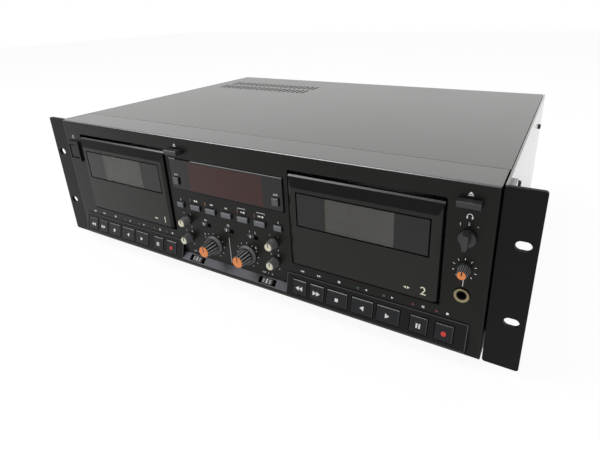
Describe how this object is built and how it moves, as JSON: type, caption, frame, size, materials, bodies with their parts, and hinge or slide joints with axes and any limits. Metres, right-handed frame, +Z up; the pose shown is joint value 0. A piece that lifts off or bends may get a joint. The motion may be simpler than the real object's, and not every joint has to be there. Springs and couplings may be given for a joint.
{
  "type": "double cassette deck",
  "caption": "Rack-mounted double cassette deck with tilting doors, tilted transport keys, knobs, slide switches, display window and turning reels.",
  "frame": {"origin": "under the middle of the whole, on the surface that the feet stand on", "axes": "+X along the front to the right, +Y to the rear, +Z up"},
  "size_m": [0.4826, 0.3398, 0.1383],
  "materials": {
    "front_panel": "fine matte charcoal moulding",
    "top_cover": "black satin paint on sheet steel",
    "chassis": "black satin paint on sheet steel",
    "rear_panel": "black satin paint on sheet steel",
    "rack_ears": "black matte paint",
    "feet": "matte black",
    "screws": "blackened steel",
    "display_window": "smoked red acrylic, glossy",
    "circuit_boards": "green solder mask",
    "power_transformer": "varnished laminations",
    "jack_sockets": "plated",
    "tape_mechanisms": "plated steel",
    "doors": "fine matte charcoal moulding",
    "door_windows": "smoked acrylic, glossy",
    "reels": "moulded, satin",
    "power_button": "matte black",
    "dark_buttons": "matte dark grey",
    "mode_buttons": "matte blue grey",
    "transport_keys": "matte dark blue grey",
    "knobs": "matte black, cream or orange caps",
    "sliders": "matte dark grey"
  },
  "bodies": {
    "deck": {"front_panel": "front_panel", "top_cover": "top_cover", "chassis": "chassis", "rear_panel": "rear_panel", "left_rack_ear": "rack_ears", "right_rack_ear": "rack_ears", "feet": "feet", "screws": "screws", "display_window": "display_window", "circuit_boards": "circuit_boards", "power_transformer": "power_transformer", "jack_sockets": "jack_sockets", "tape_mechanisms": "tape_mechanisms"},
    "cassette_door_1": {"cassette_door_1": "doors", "door_window_1": "door_windows"},
    "supply_reel_1": {"supply_reel_1": "reels"},
    "takeup_reel_1": {"takeup_reel_1": "reels"},
    "cassette_door_2": {"cassette_door_2": "doors", "door_window_2": "door_windows"},
    "supply_reel_2": {"supply_reel_2": "reels"},
    "takeup_reel_2": {"takeup_reel_2": "reels"},
    "power_button": {"power_button": "power_button"},
    "eject_button_1": {"eject_button_1": "dark_buttons"},
    "eject_button_2": {"eject_button_2": "dark_buttons"},
    "reset_button_1": {"reset_button_1": "dark_buttons"},
    "reset_button_2": {"reset_button_2": "dark_buttons"},
    "return_to_zero_button_1": {"return_to_zero_button_1": "mode_buttons"},
    "dual_record_button": {"dual_record_button": "mode_buttons"},
    "sync_reverse_button": {"sync_reverse_button": "mode_buttons"},
    "cps_button": {"cps_button": "mode_buttons"},
    "dub_normal_button": {"dub_normal_button": "mode_buttons"},
    "dub_high_speed_button": {"dub_high_speed_button": "mode_buttons"},
    "return_to_zero_button_2": {"return_to_zero_button_2": "mode_buttons"},
    "rewind_key_1": {"rewind_key_1": "transport_keys"},
    "fast_forward_key_1": {"fast_forward_key_1": "transport_keys"},
    "stop_key_1": {"stop_key_1": "transport_keys"},
    "reverse_play_key_1": {"reverse_play_key_1": "transport_keys"},
    "play_key_1": {"play_key_1": "transport_keys"},
    "pause_key_1": {"pause_key_1": "transport_keys"},
    "record_key_1": {"record_key_1": "transport_keys"},
    "rewind_key_2": {"rewind_key_2": "transport_keys"},
    "fast_forward_key_2": {"fast_forward_key_2": "transport_keys"},
    "stop_key_2": {"stop_key_2": "transport_keys"},
    "reverse_play_key_2": {"reverse_play_key_2": "transport_keys"},
    "play_key_2": {"play_key_2": "transport_keys"},
    "pause_key_2": {"pause_key_2": "transport_keys"},
    "record_key_2": {"record_key_2": "transport_keys"},
    "pitch_knob_1": {"pitch_knob_1": "knobs"},
    "pitch_knob_2": {"pitch_knob_2": "knobs"},
    "record_balance_knob_1": {"record_balance_knob_1": "knobs"},
    "record_balance_knob_2": {"record_balance_knob_2": "knobs"},
    "input_knob_1": {"input_knob_1": "knobs"},
    "input_knob_2": {"input_knob_2": "knobs"},
    "phones_selector_knob": {"phones_selector_knob": "knobs"},
    "phones_level_knob": {"phones_level_knob": "knobs"},
    "reverse_mode_slider": {"reverse_mode_slider": "sliders"},
    "timer_slider": {"timer_slider": "sliders"},
    "input_output_slider": {"input_output_slider": "sliders"},
    "noise_reduction_slider_1": {"noise_reduction_slider_1": "sliders"},
    "noise_reduction_slider_2": {"noise_reduction_slider_2": "sliders"}
  },
  "joints": [
    {"name": "door_hinge_1", "type": "hinge", "parent": "deck", "child": "cassette_door_1", "pos_m": [-0.1295, -0.1536, 0.04605], "axis": [1, 0, 0], "range_deg": [0, 30]},
    {"name": "supply_reel_1_spin", "type": "hinge", "parent": "deck", "child": "supply_reel_1", "pos_m": [-0.15075, -0.1411, 0.08915], "axis": [0, -1, 0], "continuous": true},
    {"name": "takeup_reel_1_spin", "type": "hinge", "parent": "deck", "child": "takeup_reel_1", "pos_m": [-0.10825, -0.1411, 0.08915], "axis": [0, -1, 0], "continuous": true},
    {"name": "door_hinge_2", "type": "hinge", "parent": "deck", "child": "cassette_door_2", "pos_m": [0.1245, -0.1536, 0.04605], "axis": [1, 0, 0], "range_deg": [0, 30]},
    {"name": "supply_reel_2_spin", "type": "hinge", "parent": "deck", "child": "supply_reel_2", "pos_m": [0.10325, -0.1411, 0.08915], "axis": [0, -1, 0], "continuous": true},
    {"name": "takeup_reel_2_spin", "type": "hinge", "parent": "deck", "child": "takeup_reel_2", "pos_m": [0.14575, -0.1411, 0.08915], "axis": [0, -1, 0], "continuous": true},
    {"name": "power_button_press", "type": "slide", "parent": "deck", "child": "power_button", "axis": [0, 1, 0], "range_m": [0, 0.003], "stiffness_N_per_m": 800},
    {"name": "eject_button_1_press", "type": "slide", "parent": "deck", "child": "eject_button_1", "axis": [0, 1, 0], "range_m": [0, 0.004], "stiffness_N_per_m": 600},
    {"name": "eject_button_2_press", "type": "slide", "parent": "deck", "child": "eject_button_2", "axis": [0, 1, 0], "range_m": [0, 0.004], "stiffness_N_per_m": 600},
    {"name": "reset_button_1_press", "type": "slide", "parent": "deck", "child": "reset_button_1", "axis": [0, 1, 0], "range_m": [0, 0.001], "stiffness_N_per_m": 500},
    {"name": "reset_button_2_press", "type": "slide", "parent": "deck", "child": "reset_button_2", "axis": [0, 1, 0], "range_m": [0, 0.001], "stiffness_N_per_m": 500},
    {"name": "return_to_zero_button_1_press", "type": "slide", "parent": "deck", "child": "return_to_zero_button_1", "axis": [0, 1, 0], "range_m": [0, 0.001], "stiffness_N_per_m": 500},
    {"name": "dual_record_button_press", "type": "slide", "parent": "deck", "child": "dual_record_button", "axis": [0, 1, 0], "range_m": [0, 0.001], "stiffness_N_per_m": 500},
    {"name": "sync_reverse_button_press", "type": "slide", "parent": "deck", "child": "sync_reverse_button", "axis": [0, 1, 0], "range_m": [0, 0.001], "stiffness_N_per_m": 500},
    {"name": "cps_button_press", "type": "slide", "parent": "deck", "child": "cps_button", "axis": [0, 1, 0], "range_m": [0, 0.001], "stiffness_N_per_m": 500},
    {"name": "dub_normal_button_press", "type": "slide", "parent": "deck", "child": "dub_normal_button", "axis": [0, 1, 0], "range_m": [0, 0.001], "stiffness_N_per_m": 500},
    {"name": "dub_high_speed_button_press", "type": "slide", "parent": "deck", "child": "dub_high_speed_button", "axis": [0, 1, 0], "range_m": [0, 0.001], "stiffness_N_per_m": 500},
    {"name": "return_to_zero_button_2_press", "type": "slide", "parent": "deck", "child": "return_to_zero_button_2", "axis": [0, 1, 0], "range_m": [0, 0.001], "stiffness_N_per_m": 500},
    {"name": "rewind_key_1_press", "type": "slide", "parent": "deck", "child": "rewind_key_1", "axis": [0, 0.9703, -0.2419], "range_m": [0, 0.001], "stiffness_N_per_m": 500},
    {"name": "fast_forward_key_1_press", "type": "slide", "parent": "deck", "child": "fast_forward_key_1", "axis": [0, 0.9703, -0.2419], "range_m": [0, 0.001], "stiffness_N_per_m": 500},
    {"name": "stop_key_1_press", "type": "slide", "parent": "deck", "child": "stop_key_1", "axis": [0, 0.9703, -0.2419], "range_m": [0, 0.001], "stiffness_N_per_m": 500},
    {"name": "reverse_play_key_1_press", "type": "slide", "parent": "deck", "child": "reverse_play_key_1", "axis": [0, 0.9703, -0.2419], "range_m": [0, 0.001], "stiffness_N_per_m": 500},
    {"name": "play_key_1_press", "type": "slide", "parent": "deck", "child": "play_key_1", "axis": [0, 0.9703, -0.2419], "range_m": [0, 0.001], "stiffness_N_per_m": 500},
    {"name": "pause_key_1_press", "type": "slide", "parent": "deck", "child": "pause_key_1", "axis": [0, 0.9703, -0.2419], "range_m": [0, 0.001], "stiffness_N_per_m": 500},
    {"name": "record_key_1_press", "type": "slide", "parent": "deck", "child": "record_key_1", "axis": [0, 0.9703, -0.2419], "range_m": [0, 0.001], "stiffness_N_per_m": 500},
    {"name": "rewind_key_2_press", "type": "slide", "parent": "deck", "child": "rewind_key_2", "axis": [0, 0.9703, -0.2419], "range_m": [0, 0.001], "stiffness_N_per_m": 500},
    {"name": "fast_forward_key_2_press", "type": "slide", "parent": "deck", "child": "fast_forward_key_2", "axis": [0, 0.9703, -0.2419], "range_m": [0, 0.001], "stiffness_N_per_m": 500},
    {"name": "stop_key_2_press", "type": "slide", "parent": "deck", "child": "stop_key_2", "axis": [0, 0.9703, -0.2419], "range_m": [0, 0.001], "stiffness_N_per_m": 500},
    {"name": "reverse_play_key_2_press", "type": "slide", "parent": "deck", "child": "reverse_play_key_2", "axis": [0, 0.9703, -0.2419], "range_m": [0, 0.001], "stiffness_N_per_m": 500},
    {"name": "play_key_2_press", "type": "slide", "parent": "deck", "child": "play_key_2", "axis": [0, 0.9703, -0.2419], "range_m": [0, 0.001], "stiffness_N_per_m": 500},
    {"name": "pause_key_2_press", "type": "slide", "parent": "deck", "child": "pause_key_2", "axis": [0, 0.9703, -0.2419], "range_m": [0, 0.001], "stiffness_N_per_m": 500},
    {"name": "record_key_2_press", "type": "slide", "parent": "deck", "child": "record_key_2", "axis": [0, 0.9703, -0.2419], "range_m": [0, 0.001], "stiffness_N_per_m": 500},
    {"name": "pitch_knob_1_turn", "type": "hinge", "parent": "deck", "child": "pitch_knob_1", "pos_m": [-0.0515, -0.1531, 0.05785], "axis": [0, -1, 0], "range_deg": [-150, 150]},
    {"name": "pitch_knob_2_turn", "type": "hinge", "parent": "deck", "child": "pitch_knob_2", "pos_m": [0.0465, -0.1531, 0.05785], "axis": [0, -1, 0], "range_deg": [-150, 150]},
    {"name": "record_balance_knob_1_turn", "type": "hinge", "parent": "deck", "child": "record_balance_knob_1", "pos_m": [-0.0515, -0.1531, 0.03975], "axis": [0, -1, 0], "range_deg": [-150, 150]},
    {"name": "record_balance_knob_2_turn", "type": "hinge", "parent": "deck", "child": "record_balance_knob_2", "pos_m": [0.0465, -0.1531, 0.03975], "axis": [0, -1, 0], "range_deg": [-150, 150]},
    {"name": "input_knob_1_turn", "type": "hinge", "parent": "deck", "child": "input_knob_1", "pos_m": [-0.0217, -0.1531, 0.03845], "axis": [0, -1, 0], "range_deg": [-150, 150]},
    {"name": "input_knob_2_turn", "type": "hinge", "parent": "deck", "child": "input_knob_2", "pos_m": [0.0167, -0.1531, 0.03845], "axis": [0, -1, 0], "range_deg": [-150, 150]},
    {"name": "phones_selector_knob_turn", "type": "hinge", "parent": "deck", "child": "phones_selector_knob", "pos_m": [0.2, -0.1531, 0.10035], "axis": [0, -1, 0], "range_deg": [-30, 30]},
    {"name": "phones_level_knob_turn", "type": "hinge", "parent": "deck", "child": "phones_level_knob", "pos_m": [0.2, -0.1531, 0.07685], "axis": [0, -1, 0], "range_deg": [-150, 150]},
    {"name": "reverse_mode_slider_travel", "type": "slide", "parent": "deck", "child": "reverse_mode_slider", "axis": [1, 0, 0], "range_m": [0, 0.0046]},
    {"name": "timer_slider_travel", "type": "slide", "parent": "deck", "child": "timer_slider", "axis": [1, 0, 0], "range_m": [0, 0.0046]},
    {"name": "input_output_slider_travel", "type": "slide", "parent": "deck", "child": "input_output_slider", "axis": [1, 0, 0], "range_m": [0, 0.0046]},
    {"name": "noise_reduction_slider_1_travel", "type": "slide", "parent": "deck", "child": "noise_reduction_slider_1", "axis": [1, 0, 0], "range_m": [-0.0032, 0.0032]},
    {"name": "noise_reduction_slider_2_travel", "type": "slide", "parent": "deck", "child": "noise_reduction_slider_2", "axis": [1, 0, 0], "range_m": [-0.0032, 0.0032]}
  ]
}
